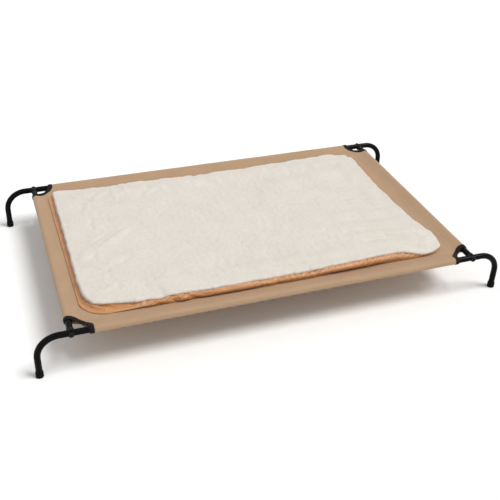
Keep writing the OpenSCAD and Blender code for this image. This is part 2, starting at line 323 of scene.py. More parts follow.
def coated_canvas(tone):
    """Polyester plain weave, coated underneath: tan and matt, with painted shade a little darker between raised
    threads.
    """
    material, tree, weave_map = new_material("coated_canvas", "UV")
    # Threads are about 0.6 mm apart; they are drawn 1.6 mm apart to show
    spacing = 1.6 * MM
    bands = {"Vector": weave_map, "Scale": WAVE_TURN / spacing, "Distortion": 0.0}
    warp, weft = [add_node(tree, "ShaderNodeTexWave", bands, bands_direction=d).outputs["Fac"] for d in "XY"]
    over = add_node(tree, "ShaderNodeTexChecker", {"Vector": weave_map, "Scale": 1 / spacing}).outputs["Fac"]
    height = add_node(tree, "ShaderNodeMix", {"Factor": over, "A": warp, "B": weft}, data_type="FLOAT")
    # Uneven dye and slubs: long streaks along the warp, and cloudy patches
    stretch = add_node(tree, "ShaderNodeMapping", {"Vector": weave_map, "Scale": (1, 0.06, 1)})
    streaks = add_node(tree, "ShaderNodeTexNoise", {"Vector": stretch, "Scale": 1 / (6 * MM), "Detail": 3})
    clouds = add_node(tree, "ShaderNodeTexNoise", {"Vector": weave_map, "Scale": 1 / (90 * MM), "Detail": 3})
    uneven = add_node(tree, "ShaderNodeMath", {0: streaks, 1: clouds}, operation="ADD")
    blend = add_node(tree, "ShaderNodeMapRange", {"Value": uneven, "From Min": 0.7, "From Max": 1.3})
    dyed = add_node(tree, "ShaderNodeMix", {"Factor": blend, **shades(tone, 0.95, 1.05)}, data_type="RGBA")
    # Painted shade: the hollows of the weave are drawn darker than its raised threads
    weave_hollow_shade = add_node(tree, "ShaderNodeMix", {"Factor": height, **shades((1, 1, 1), 0.88, 1)}, data_type="RGBA")
    cloth = add_node(tree, "ShaderNodeMix", {
        "Factor": 1.0, "A": dyed, "B": weave_hollow_shade
    }, data_type="RGBA", blend_type="MULTIPLY")
    return finished(
        material, {
            "Base Color": cloth, "IOR": 1.5, "Specular IOR Level": 0.3,
            "Sheen Weight": 0.15, "Sheen Roughness": 0.5,
        },
        dull={"Value": height, "To Min": 0.82, "To Max": 0.62},
        bump={"Height": height, "Strength": 0.35, "Distance": 0.3 * MM},
    )


def ribbed_tape(tone):
    """Woven polyester tape: black and matt, with ribs across its length."""
    material, tree, along = new_material("ribbed_tape", "UV")
    # Ribs are about 0.8 mm apart; they are drawn 1.6 mm apart to show
    ribs = add_node(tree, "ShaderNodeTexWave", {
        "Vector": along, "Scale": WAVE_TURN / (1.6 * MM), "Distortion": 0.4
    }, bands_direction="Y").outputs["Fac"]
    fuzz = add_node(tree, "ShaderNodeTexNoise", {"Vector": along, "Scale": 1 / (2.5 * MM), "Detail": 3})
    tint = add_node(tree, "ShaderNodeMix", {"Factor": fuzz, **shades(tone, 0.7, 1.6)}, data_type="RGBA")
    return finished(
        material, {
            "Base Color": tint, "IOR": 1.5, "Specular IOR Level": 0.15,
            "Sheen Weight": 0.02, "Sheen Roughness": 0.4,
        },
        dull={"Value": ribs, "To Min": 0.8, "To Max": 0.6},
        bump={"Height": ribs, "Strength": 0.5, "Distance": 0.3 * MM},
    )


def sewing_thread(name, tone):
    """Twisted polyester thread: a soft lustre, with the twist as slanting lines."""
    material, tree, place = new_material(name)
    twist = add_node(tree, "ShaderNodeTexWave", {
        "Vector": place, "Scale": WAVE_TURN / (0.7 * MM)
    }, bands_direction="DIAGONAL").outputs["Fac"]
    tint = add_node(tree, "ShaderNodeMix", {"Factor": twist, **shades(tone, 0.8, 1.1)}, data_type="RGBA")
    return finished(
        material, {"Base Color": tint, "IOR": 1.5, "Specular IOR Level": 0.4},
        dull={"Value": twist, "To Min": 0.65, "To Max": 0.5},
    )


def backing_satin(tone):
    """Polyester satin: long floats of bright thread give it a soft gleam and darker folds."""
    material, tree, place = new_material("backing_satin")
    # Floats are under 0.2 mm wide; they are drawn 1.2 mm wide and ten times as long to show
    stretch = add_node(tree, "ShaderNodeMapping", {"Vector": place, "Scale": (0.1, 1, 1)})
    floats = add_node(tree, "ShaderNodeTexNoise", {"Vector": stretch, "Scale": 1 / (1.2 * MM), "Detail": 2})
    clouds = add_node(tree, "ShaderNodeTexNoise", {"Vector": place, "Scale": 1 / (30 * MM), "Detail": 3})
    tint = add_node(tree, "ShaderNodeMix", {"Factor": clouds, **shades(tone, 0.86, 1.1)}, data_type="RGBA")
    # Thin cloth creases in fine lines between its larger folds
    creases = add_node(tree, "ShaderNodeTexNoise", {
        "Vector": place, "Scale": 1 / (11 * MM), "Detail": 4, "Roughness": 0.6, "Distortion": 0.8
    })
    crinkle = add_node(tree, "ShaderNodeBump", {"Height": creases, "Strength": 0.5, "Distance": 2.5 * MM})
    return finished(
        material, {
            "Base Color": tint, "IOR": 1.5, "Specular IOR Level": 0.55,
            "Sheen Weight": 0.25, "Sheen Roughness": 0.3,
        },
        dull={"Value": floats, "To Min": 0.36, "To Max": 0.52},
        bump={"Height": floats, "Strength": 0.25, "Distance": 0.2 * MM, "Normal": crinkle},
    )


def pile_fleece(tone, tuft):
    """Deep pile fleece: off-white, no gloss, soft edges, with painted shade a little darker between its clumps.
    """
    material, tree, place = new_material("pile_fleece")
    clumps = add_node(tree, "ShaderNodeTexVoronoi", {"Vector": place, "Scale": 1 / tuft, "Randomness": 1.0})
    # Single fibres are far too fine to show; their tangle is drawn 2 mm wide
    fibres = add_node(tree, "ShaderNodeTexNoise", {
        "Vector": place, "Scale": 1 / (2 * MM), "Detail": 4, "Roughness": 0.7
    })
    clouds = add_node(tree, "ShaderNodeTexNoise", {"Vector": place, "Scale": 1 / (60 * MM), "Detail": 4})
    depth = add_node(tree, "ShaderNodeMath", {0: clumps, 1: 0.5}, operation="MULTIPLY")
    height = add_node(tree, "ShaderNodeMath", {0: fibres, 1: depth}, operation="SUBTRACT")
    # Painted shade: the colour is darker where the pile is low, in the gaps between clumps; the clouds add
    # random tone
    uneven = add_node(tree, "ShaderNodeMath", {0: height, 1: clouds}, operation="ADD")
    blend = add_node(tree, "ShaderNodeMapRange", {"Value": uneven, "From Min": 0.3, "From Max": 1.1})
    tint = add_node(tree, "ShaderNodeMix", {"Factor": blend, **shades(tone, 0.93, 1.04)}, data_type="RGBA")
    return finished(
        material, {
            "Base Color": tint, "Roughness": 1.0, "IOR": 1.45, "Specular IOR Level": 0.1,
            "Sheen Weight": 0.5, "Sheen Roughness": 0.6,
        },
        bump={"Height": height, "Strength": 0.5, "Distance": 0.8 * MM},
    )


# Meshes

def new_piece(name, bm, material, smooth=True):
    """An object at the origin that takes over a bmesh."""
    mesh = bpy.data.meshes.new(name)
    bm.to_mesh(mesh)
    bm.free()
    mesh.polygons.foreach_set("use_smooth", [smooth] * len(mesh.polygons))
    mesh.materials.append(material)
    piece = bpy.data.objects.new(name, mesh)
    bpy.context.scene.collection.objects.link(piece)
    return piece


def add_grid(bm, columns, rows):
    """A grid of that many cells, and each of its vertices with its column and row."""
    made = bmesh.ops.create_grid(bm, x_segments=columns, y_segments=rows, size=1)["verts"]
    return [(v, round((v.co.x + 1) / 2 * columns), round((v.co.y + 1) / 2 * rows)) for v in made]


def run_lengths(points):
    """Distance of each point of a line from its start."""
    lengths = [0.0]
    for a, b in zip(points, points[1:]):
        lengths.append(lengths[-1] + (b - a).length)
    return lengths


def smooth_min(a, b, width):
    """The smaller of two values, blended where they are closer than a width."""
    overlap = max(width - abs(a - b), 0) / width
    return min(a, b) - overlap * overlap * width / 4


def ease(share):
    """A smooth step from 0 to 1."""
    share = min(max(share, 0.0), 1.0)
    return share * share * (3 - 2 * share)


# Canvas bed

FLANK_STEPS = 4
ROUND_STEPS = 9
CELL = 10 * MM
HEM_END = 3.5 * MM
# How far the rows of sewing and the folds lie inside the edges of a hem
HEM_INSET = 2 * MM
HEM_FOLD = 3 * MM
# Width over which a mouth turns from square to slantwise
MOUTH_BLEND = 8 * MM
COLUMNS = {side: 2 * round((rail_place(side)[1] - SLEEVE_DEPTH) / CELL) for side in SIDES}


def over_the_tube(canvas):
    """A sleeve's cloth from its upper hem to its outermost point: distance in from the rail, and height."""
    radius = TUBE_RADIUS + canvas.slack + canvas.cloth / 2
    height = canvas.cloth / 2
    start = SLEEVE_DEPTH - canvas.hem_width
    turn = math.acos(radius / math.hypot(start, height)) + math.atan2(height, start)
    touch = Vector((radius * math.cos(turn), radius * math.sin(turn)))
    flank = [Vector((start, height)).lerp(touch, k / FLANK_STEPS) for k in range(FLANK_STEPS)]
    angles = [turn + (math.pi - turn) * k / ROUND_STEPS for k in range(ROUND_STEPS + 1)]
    return flank + [Vector((radius * math.cos(a), radius * math.sin(a))) for a in angles]


def whole_section(upper_hem, canvas, lower_hem):
    """A sleeve's section from its upper hem, over the tube, to its lower hem."""
    upper = over_the_tube(canvas)
    lower = [Vector((p.x, -p.y)) for p in reversed(upper[:-1])]
    return [Vector(p) for p in upper_hem] + upper + lower + [Vector(p) for p in lower_hem]


def section_normals(section):
    """Direction out of the sleeve at each point of its section."""
    normals = []
    for k, _ in enumerate(section):
        run = section[min(k + 1, len(section) - 1)] - section[max(k - 1, 0)]
        normals.append(Vector((run.y, -run.x)).normalized())
    return normals


def cloth_end(canvas, inward, shift=0.0):
    """How far from the crossing rail a sleeve ends, that far in from its own; shift moves it inwards."""
    slant = canvas.mouth + canvas.knee + shift * math.sqrt(2) - inward
    return max(smooth_min(canvas.mouth + shift, slant, MOUTH_BLEND), inward)


def map_weave(layer, places):
    """Give each face of a new grid its own weave map."""
    for face in {face for v in places for face in v.link_faces}:
        for loop in face.loops:
            loop[layer].uv = places[loop.vert]


def add_bed_panel(bm, layer, canvas):
    """The stretched middle of the bed."""
    columns, rows = COLUMNS["front"], COLUMNS["left"]
    places = {}
    for v, i, j in add_grid(bm, columns, rows):
        across, along = 2 * i / columns - 1, 2 * j / rows - 1
        x, y = across * PANEL_HALF.x, along * PANEL_HALF.y
        hang = (1 - across ** 2) * (1 - along ** 2)
        pull = noise.noise(Vector((x / 0.2, y / 0.2, 3.1))) * min(1, 6 * hang)
        v.co = Vector((x, y, RAIL_HEIGHT - canvas.sag * hang + canvas.ripple * pull))
        places[v] = (x, y)
    map_weave(layer, places)


def add_sleeve_flap(bm, layer, canvas, side):
    """One edge of the bed: it runs over its rail and back under the bed to its hem."""
    place, half = rail_place(side)
    thick = canvas.cloth
    hem = SLEEVE_DEPTH - HEM_INSET
    section = whole_section(
        [(SLEEVE_DEPTH, 0), (hem, thick / 2), (hem - HEM_FOLD, thick / 2)], canvas,
        [(hem - HEM_FOLD, -thick / 2), (hem, -thick / 2), (SLEEVE_DEPTH, -thick),
         (SLEEVE_DEPTH + HEM_END, -1.05 * thick)],
    )
    normals, lengths = section_normals(section), run_lengths(section)
    columns = COLUMNS[side]
    turn = SIDES[side][0]
    places = {}
    for v, i, j in add_grid(bm, columns, len(section) - 1):
        point, normal = section[j], normals[j]
        along = (2 * i / columns - 1) * (half - cloth_end(canvas, point.x))
        slack = ease((half - SLEEVE_DEPTH - abs(along)) / (60 * MM))
        slack *= ease((SLEEVE_DEPTH - 4 * MM - point.x) / (12 * MM))
        wave = noise.noise(Vector((along / 0.07, lengths[j] / 0.03, turn + 0.37)))
        lift = canvas.ripple * slack * wave
        v.co = place @ Vector((point.x + normal.x * lift, along, point.y + normal.y * lift))
        places[v] = (lengths[j], along)
    map_weave(layer, places)


# Corner bindings

# Across the tape, from its inner edge round the cut edge of the cloth: how far in, and how high, as shares of
# the tape's width and of its crown
TAPE_PROFILE = [(1, 0.0), (0.97, 0.45), (0.75, 0.9), (0.5, 1.0), (0.25, 0.95), (0.05, 0.6)]
TAPE_LIP = 0.9 * MM


def tape_section(canvas, tape_width):
    """A sleeve's section as far in as the tape's inner edge meets that of the next sleeve."""
    meet = (canvas.mouth + canvas.knee + tape_width * math.sqrt(2)) / 2
    start = SLEEVE_DEPTH - canvas.hem_width
    steps = [meet + (start - meet) * k / 4 for k in range(4)]
    thick = canvas.cloth / 2
    return whole_section([(s, thick) for s in steps], canvas, [(s, -thick) for s in reversed(steps)])


def add_tape_half(bm, layer, canvas, binding, side, end):
    """The tape on one sleeve's mouth: a swelling band on the cloth that folds over its cut edge."""
    place, half = rail_place(side)
    section = tape_section(canvas, binding.width)
    normals, lengths = section_normals(section), run_lengths(section)
    base = canvas.cloth / 2 + binding.tape
    across = [(share * binding.width, base + lift * binding.crown) for share, lift in TAPE_PROFILE]
    across += [(-TAPE_LIP * 0.7, canvas.cloth / 2), (-TAPE_LIP, 0), (-TAPE_LIP * 0.7, -canvas.cloth / 2)]
    places = {}
    for v, i, j in add_grid(bm, len(across) - 1, len(section) - 1):
        shift, lift = across[i]
        point = section[j] + normals[j] * lift
        along = end * (half - cloth_end(canvas, section[j].x, shift))
        v.co = place @ Vector((point.x, along, point.y))
        places[v] = (shift, lengths[j])
    map_weave(layer, places)


# Stitching

def spaced_line(points, pitch):
    """Places along a line, that far apart, each with the line's direction there."""
    lengths = run_lengths(points)
    count = max(1, int(lengths[-1] / pitch))
    k = 0
    for n in range(count):
        at = (n + 0.5) * lengths[-1] / count
        while lengths[k + 1] < at:
            k += 1
        run = points[k + 1] - points[k]
        yield points[k] + run * ((at - lengths[k]) / run.length), run.normalized()


def stitch_shape(stitch):
    """One stitch: a short rounded run of thread that dips into the cloth at its ends."""
    bm = bmesh.new()
    shape = Matrix.Diagonal((stitch.length / 2, stitch.thread / 2, stitch.thread / 2, 1))
    bmesh.ops.create_uvsphere(
        bm, u_segments=5, v_segments=4, radius=1, matrix=shape @ Matrix.Rotation(math.pi / 2, 4, "Y")
    )
    mesh = bpy.data.meshes.new("stitch")
    bm.to_mesh(mesh)
    bm.free()
    return mesh


def add_stitches(bm, points, pitch, shape):
    """A row of stitches along a line."""
    for place, run in spaced_line(points, pitch):
        turn = Matrix.Translation(place) @ run.to_track_quat("X", "Z").to_matrix().to_4x4()
        shape.transform(turn)
        bm.from_mesh(shape)
        shape.transform(turn.inverted())


def hem_lines(canvas):
    """The two rows of sewing on each hem, above and below the bed."""
    for side in SIDES:
        place, half = rail_place(side)
        for inward in (SLEEVE_DEPTH - canvas.hem_width + HEM_INSET, SLEEVE_DEPTH - HEM_INSET):
            for height in (canvas.cloth, -canvas.cloth):
                run = half - inward - 6 * MM
                yield [place @ Vector((inward, along, height)) for along in (-run, run)]


def tape_line(canvas, binding, side, end):
    """The row of sewing on a tape, near its inner edge."""
    place, half = rail_place(side)
    shift = 0.82 * binding.width
    section = tape_section(canvas, shift)
    lift = canvas.cloth / 2 + binding.tape + 0.75 * binding.crown
    points = []
    for point, normal in zip(section, section_normals(section)):
        raised = point + normal * lift
        along = end * (half - cloth_end(canvas, point.x, shift))
        points.append(place @ Vector((raised.x, along, raised.y)))
    return points


# Pad

# How far each corner lies outside the frame's pad, because the loose pad has shifted a little, and its radius
PAD_CORNERS = {
    (-1, -1): (16, -8, 60),
    (1, -1): (6, -4, 60),
    (1, 1): (-9, -7, 45),
    (-1, 1): (18, 0, 30),
}
# How far each side is drawn in between the corners, or bows out where it is less than 0
PAD_DRAW = {"left": 0, "front": -12, "right": 23, "back": 24}
# How far in from the rim of each side the seam lies beyond its ring
SEAM_IN = {"left": 4, "front": 1, "right": 3, "back": 3}
# How much flatter the pad lies along its back edge
FLAT_BACK = 6 * MM
# How far the flat left edge goes on round its corners, and how slowly it then turns round
FLAT_LEFT = {"start": 55 * MM, "width": 170 * MM}
# How much plumper it is along the right half of its front edge, and the place and width of that
PLUMP = 3 * MM
PLUMP_AT = ((300 * MM, -318 * MM), 150 * MM)
# Distances from the rim of the outer rings of cells, which are finer than the rest
PAD_RIM_RINGS = [0, 2.2, 4.6, 7.4, 10.5, 14, 18.5, 23.5]
# How firmly the fill's quilting holds the middle of the upper side during the simulation
TOP_HOLD = 0.3
# The fleece starts at this ring of the upper side, where it is sewn to the satin
SEAM_RING = 4
# How far the satin comes up further over the corner nearest the camera, and the place and width of that
GUSSET = 17 * MM
GUSSET_AT = ((-465 * MM, -306 * MM), 78 * MM)
# The gusset's folds bend round this place, that far apart
FOLD_CENTRE = (-388 * MM, -199 * MM)
FOLD_SPACING = 13 * MM
# How far in from the rim the satin's hollow slope on the left side goes
HOLLOW = 10.5 * MM
# How far the satin stays above the bottom of the pad's solid
SATIN_CLEAR = 0.2 * MM
# How far in from the rim the seam can move, and how far it wavers
SEAM_REACH = 9 * MM
SEAM_WAVER = 2 * MM
# How far the fleece's edge turns in and down behind the seam
SKIRT = 4 * MM
# The satin is cut finer as far as this ring of the underside
FINE_RINGS = 5
# How far the pad's edge drops at the first place where the fleece hangs out by the front right corner
LOBE_DROP = 6 * MM
# Those places, with their widths and how far out it hangs
LOBES = [((412 * MM, -312 * MM), 52 * MM, (0, -14)), ((472 * MM, -256 * MM), 45 * MM, (10, 1))]
# Soft folds in the fleece: from, to, half width and height
FOLDS = [
    ((-480, -95), (-330, 10), 16, 5),
    ((-470, -130), (-300, -110), 22, 3),
    ((-440, 250), (-200, 90), 30, 2.5),
    ((300, -250), (455, -285), 14, 3),
    ((250, -195), (460, -225), 15, 3.5),
    ((270, -140), (455, -165), 15, 3),
    ((250, -80), (445, -105), 18, 3),
    ((-60, -250), (180, -270), 20, 2.5),
    ((-250, -60), (60, -20), 35, 2),
    ((80, 120), (400, 170), 32, 2.5),
    ((-120, 230), (200, 250), 28, 2),
    ((-452, -78), (-340, 18), 7, -2.4),
    ((-440, -165), (-340, -120), 8, -1.6),
    ((265, -218), (440, -244), 7, -2.2),
    ((285, -165), (445, -190), 7, -2.2),
    ((270, -108), (438, -132), 8, -2),
    ((310, -268), (430, -290), 7, -1.6),
    ((-40, -275), (150, -292), 8, -1.6),
    ((-430, 215), (-260, 120), 9, -1.6),
]


def pad_rulers(half, step):
    """Places of the cells' edges from one side of the pad to the other."""
    rim = [r * MM for r in PAD_RIM_RINGS]
    count = 2 * round((half - rim[-1]) / step)
    inner = [-half + rim[-1] + 2 * (half - rim[-1]) * k / count for k in range(1, count)]
    return [r - half for r in rim] + inner + [half - r for r in reversed(rim)]


def pad_plan(x, y, half_x, half_y):
    """Where a point of the pad's rectangle lies: corners rounded, sides drawn in, and the pad shifted."""
    across, along = x / half_x, y / half_y
    corner = (1 if x > 0 else -1, 1 if y > 0 else -1)
    radius = PAD_CORNERS[corner][2] * MM
    p, q = (abs(x) - half_x) / radius + 1, (abs(y) - half_y) / radius + 1
    if p > 0 and q > 0:
        x += corner[0] * radius * p * (math.sqrt(1 - q * q / 2) - 1)
        y += corner[1] * radius * q * (math.sqrt(1 - p * p / 2) - 1)
    x -= across * MM * (1 - along ** 2) * PAD_DRAW["right" if x > 0 else "left"]
    y -= along * MM * (1 - across ** 2) * PAD_DRAW["back" if y > 0 else "front"]
    for (side_x, side_y), (out_x, out_y, _) in PAD_CORNERS.items():
        share = (1 + side_x * across) * (1 + side_y * along) / 4
        x += share * side_x * out_x * MM
        y += share * side_y * out_y * MM
    return x, y


def near(x, y, place, width):
    """How close a point is to a place, from 1 there to 0 well beyond a width."""
    return math.exp(-(math.hypot(x - place[0], y - place[1]) / width) ** 2)


def by_rim(inset, start=12 * MM, width=60 * MM):
    """1 at the rim of one side, falling to 0 some way in."""
    return 1 - ease((inset - start) / width)


def fold_height(x, y):
    """Height of the folds in the fleece at a place."""
    total = 0.0
    for start, end, width, height in FOLDS:
        start, end = Vector(start) * MM, Vector(end) * MM
        run = end - start
        share = (Vector((x, y)) - start).dot(run) / run.length_squared
        away = (Vector((x, y)) - start - run * share).length
        fade = ease((share + 0.15) / 0.35) * ease((1.15 - share) / 0.35)
        total += height * MM * fade * math.exp(-(away / (width * MM)) ** 2)
    return total


def local_forms(x, y, px, py):
    """How much each of the pad's local forms counts at a point, by its place in the rectangle and in plan."""
    return SimpleNamespace(
        gusset=near(px, py, *GUSSET_AT),
        plump=near(px, py, *PLUMP_AT),
        lobes=[near(px, py, place, width) for place, width, _ in LOBES],
        left=by_rim(PAD_HIGH.x + x, **FLAT_LEFT),
        right=by_rim(PAD_HIGH.x - x),
        front=by_rim(PAD_HIGH.y + y),
        back=by_rim(PAD_HIGH.y - y),
    )


def upper_height(pad, px, py, inset, rim_height, round_up, local):
    """Height of the pad's upper side above its underside."""
    swell = 1 - (1 - min(inset / PAD_HIGH.y, 1)) ** 2
    # Along the left side the satin rises from the bed in a hollow slope
    hollow = 0.85 * min(inset / HOLLOW, 1) ** 2 + 0.15 * ease((inset - HOLLOW) / (20 * MM))
    round_up += local.left * (hollow - round_up)
    edge_height = pad.edge_height + PLUMP * local.plump - LOBE_DROP * local.lobes[0] - FLAT_BACK * local.back
    lumps = 3 * noise.noise(Vector((px / 0.11, py / 0.11, 7.3)))
    lumps += noise.noise(Vector((px / 0.045, py / 0.045, 2.9)))
    loose = ease((inset - 12 * MM) / (30 * MM)) * (1.7 * fold_height(px, py) + lumps * MM)
    return rim_height + (edge_height - rim_height) * round_up + pad.crown * swell + loose


def upper_plan(px, py, y, inset, local):
    """Where a point of the upper side lies in plan once the gusset, the lobes and the seams have moved it."""
    free = ease(inset / SEAM_REACH)
    drawn = free * (1 - ease((inset - 12 * MM) / (90 * MM)))
    waver = SEAM_WAVER * noise.noise(Vector((px / 0.03, py / 0.03, 1.7))) * free
    waver *= 1 - ease((inset - 10 * MM) / (30 * MM))
    push = GUSSET * local.gusset * drawn + waver
    inwards = Vector((-px / PAD_HIGH.x, -py / PAD_HIGH.y)).normalized() * push
    px, py = px + inwards.x, py + inwards.y
    for share, (_, _, (out_x, out_y)) in zip(local.lobes, LOBES):
        px, py = px + out_x * MM * share * drawn, py + out_y * MM * share * drawn
    sewn = ease(inset / (10 * MM)) * MM
    px += sewn * (SEAM_IN["left"] * (1 + 0.8 * y / PAD_HIGH.y) * local.left - SEAM_IN["right"] * local.right)
    py += sewn * ((SEAM_IN["front"] + 5 * local.plump) * local.front - SEAM_IN["back"] * local.back)
    return px, py


def build_pad_form(pad):
    """The pad's closed form before the simulation; its ring layer counts in from the rim, below 0 underneath."""
    half_x, half_y = PAD_HIGH.x, PAD_HIGH.y
    rule_x, rule_y = pad_rulers(half_x, pad.step), pad_rulers(half_y, pad.step)
    bm = bmesh.new()
    ring_layer = bm.verts.layers.int.new("ring")
    for upper in (True, False):
        for v, i, j in add_grid(bm, len(rule_x) - 1, len(rule_y) - 1):
            x, y = rule_x[i], rule_y[j]
            ring = min(i, j, len(rule_x) - 1 - i, len(rule_y) - 1 - j)
            inset = min(half_x - abs(x), half_y - abs(y))
            px, py = pad_plan(x, y, half_x, half_y)
            local = local_forms(x, y, px, py)
            rim_height = pad.rim_height * (1 - 0.5 * local.gusset) * (1 - 0.4 * local.back)
            rim_height = rim_height * (1 - 0.75 * local.left) + 0.6 * PLUMP * local.plump
            rim = pad.rim * (1 + 1.5 * local.gusset if upper else 0.5)
            round_up = math.sqrt(max(0.0, 1 - (1 - min(inset / rim, 1)) ** 2))
            if upper:
                z = upper_height(pad, px, py, inset, rim_height, round_up, local)
                px, py = upper_plan(px, py, y, inset, local)
            else:
                z = rim_height * (1 - round_up)
            v.co = Vector((px, py, PAD_LOW.z + z))
            v[ring_layer] = ring if upper else -ring
    bmesh.ops.remove_doubles(bm, verts=bm.verts, dist=0.05 * MM)
    bmesh.ops.recalc_face_normals(bm, faces=bm.faces)
    return bm


def swell_pad(bm, pad, material):
    """Let the fill swell the pad's cloth, and move the bmesh's vertices to the result."""
    form = new_piece("pad_form", bm.copy(), material)
    rings = bm.verts.layers.int["ring"]
    bm.verts.ensure_lookup_table()
    held = form.vertex_groups.new(name="held")
    for v in bm.verts:
        inner = ease((abs(v[rings]) - len(PAD_RIM_RINGS)) / (6 if v[rings] < 0 else 20))
        rim = 1 - ease((abs(v[rings]) - len(PAD_RIM_RINGS)) / 8)
        left = rim * by_rim(v.co.x + PAD_HIGH.x, **FLAT_LEFT)
        held.add([v.index], max(0.9 * left, inner if v[rings] < 0 else TOP_HOLD * inner), "REPLACE")
    cloth = form.modifiers.new("Cloth", "CLOTH")
    rules = cloth.settings
    rules.quality = 4
    rules.mass = 0.02
    rules.tension_stiffness = rules.compression_stiffness = 12
    rules.shear_stiffness = 6
    rules.bending_stiffness = 0.2
    rules.vertex_group_mass = held.name
    rules.use_pressure = True
    rules.uniform_pressure_force = pad.pressure
    rules.shrink_min = -0.018
    rules.effector_weights.gravity = 0
    cloth.collision_settings.use_collision = False
    cloth.point_cache.frame_start = 1
    cloth.point_cache.frame_end = pad.frames
    scene = bpy.context.scene
    for step in range(1, pad.frames + 1):
        scene.frame_set(step)
    found = form.evaluated_get(bpy.context.evaluated_depsgraph_get()).data
    for v in bm.verts:
        move = found.vertices[v.index].co - v.co
        if move.length > pad.reach:
            move *= pad.reach / move.length
        v.co += move
        v.co.z = max(v.co.z, PAD_LOW.z)
    scene.frame_set(1)
    mesh = form.data
    bpy.data.objects.remove(form)
    bpy.data.meshes.remove(mesh)


def is_fleece(face, rings):
    """Whether a face of the pad's form lies inside the seam of its upper side."""
    return min(v[rings] for v in face.verts) >= SEAM_RING


def pile_height(place, pad):
    """How far the pile stands out at a place: rounded clumps with deep gaps, and a finer tangle."""
    clump = noise.voronoi(place / pad.tuft)[0]
    tangle = noise.fractal(place / (0.45 * pad.tuft), 1.0, 2.0, 3)
    return pad.pile * (0.8 + 0.25 * (clump[1] - clump[0]) + 0.1 * tangle)


def fleece_piece(bm, pad, material):
    """The fleece with the fill under it: its pile stands off the sewn cloth and hangs over the seam."""
    rings = bm.verts.layers.int["ring"]
    bmesh.ops.delete(bm, geom=[f for f in bm.faces if not is_fleece(f, rings)], context="FACES")
    rim = [e for e in bm.edges if e.is_boundary]
    skirt = bmesh.ops.extrude_edge_only(bm, edges=rim)["geom"]
    for v in [g for g in skirt if isinstance(g, bmesh.types.BMVert)]:
        inwards = Vector((-v.co.x / PAD_HIGH.x, -v.co.y / PAD_HIGH.y, 0)).normalized()
        v.co += inwards * SKIRT + Vector((0, 0, -SKIRT))
        v[rings] = 0
    bmesh.ops.recalc_face_normals(bm, faces=bm.faces)
    piece = new_piece("fleece_top", bm, material)
    finer = piece.modifiers.new("Subdivision", "SUBSURF")
    finer.levels = finer.render_levels = 1
    found = piece.evaluated_get(bpy.context.evaluated_depsgraph_get())
    mesh = bpy.data.meshes.new_from_object(found)
    piece.modifiers.clear()
    old = piece.data
    piece.data = mesh
    bpy.data.meshes.remove(old)
    edge_ring = mesh.attributes["ring"].data
    moved = []
    for v in mesh.vertices:
        depth = edge_ring[v.index].value
        rise = ease(depth / SEAM_RING)
        # The pile's edge rolls over the seam in soft lobes
        edge = 1 - ease((depth - SEAM_RING) / 4)
        rise *= 1 + edge * (0.3 + 0.7 * noise.noise(v.co / 0.028))
        moved.append(v.co + v.normal * (pile_height(v.co, pad) * rise))
    for v, place in zip(mesh.vertices, moved):
        v.co = place
    # One flat face closes the underside, inside the pad
    bm = bmesh.new()
    bm.from_mesh(mesh)
    bmesh.ops.edgeloop_fill(bm, edges=[e for e in bm.edges if e.is_boundary])
    bmesh.ops.recalc_face_normals(bm, faces=bm.faces)
    bm.to_mesh(mesh)
    bm.free()
    return piece


def satin_piece(bm, pad, material):
    """The satin backing: the underside and the rim, gathered along the seam."""
    rings = bm.verts.layers.int["ring"]
    bmesh.ops.delete(bm, geom=[f for f in bm.faces if is_fleece(f, rings)], context="FACES")
    rim_faces = [f for f in bm.faces if max(v[rings] for v in f.verts) > -FINE_RINGS]
    rim_edges = list({e for f in rim_faces for e in f.edges})
    bmesh.ops.subdivide_edges(bm, edges=rim_edges, cuts=2, use_grid_fill=True, smooth=0.5)
    # The gusset's cells are stretched, so they are cut once more for its folds
    wide = [
        e for e in bm.edges
        if near(*e.verts[0].co.xy, *GUSSET_AT) > 0.25 and e.verts[0].co.z > PAD_LOW.z + 3 * MM
    ]
    bmesh.ops.subdivide_edges(bm, edges=wide, cuts=1, use_grid_fill=True, smooth=0.5)
    bm.normal_update()
    for v in bm.verts:
        height = v.co.z - PAD_LOW.z
        strength = ease(height / (5 * MM))
        if strength == 0:
            continue
        gusset = near(v.co.x, v.co.y, *GUSSET_AT)
        on_front = abs(v.co.y) / PAD_HIGH.y > abs(v.co.x) / PAD_HIGH.x
        along = v.co.x if on_front else v.co.y
        # Gathers slant along the rim; their spacing and depth are uneven
        slant = along - 1.4 * height + 9 * MM * noise.noise(Vector((along / 0.04, 4.4, 2.2)))
        gather = 2 * abs(math.sin(math.pi * slant / pad.pucker_spacing)) - 1
        finer = 2 * abs(math.sin(math.pi * (slant - 0.8 * height) / (0.62 * pad.pucker_spacing))) - 1
        mixed = 0.5 + 0.5 * noise.noise(Vector((along / 0.06, 8.1, 1.4)))
        gather += (finer - gather) * mixed
        uneven = 0.5 + 0.6 * noise.noise(Vector((along / 0.035, 5.5, 0.3)))
        uneven *= ease((height + 2 * MM) / (12 * MM))
        # The near corner lies in flat folds that follow its edge
        bend = math.hypot(v.co.x - FOLD_CENTRE[0], v.co.y - FOLD_CENTRE[1])
        bend += 5 * MM * noise.noise(v.co / 0.05)
        fold = 2 * abs(math.sin(math.pi * bend / FOLD_SPACING)) - 1
        v.co += v.normal * (strength * pad.pucker * (uneven * gather * (1 - gusset) + 1.1 * fold * gusset))
    for v in bm.verts:
        v.co.z = max(v.co.z, PAD_LOW.z + SATIN_CLEAR)
    return new_piece("satin_backing", bm, material)


# Operators

# Half the width of the floor in metres, and how far it lies below the feet
FLOOR_HALF = 15
FLOOR_DROP = 0.1 * MM


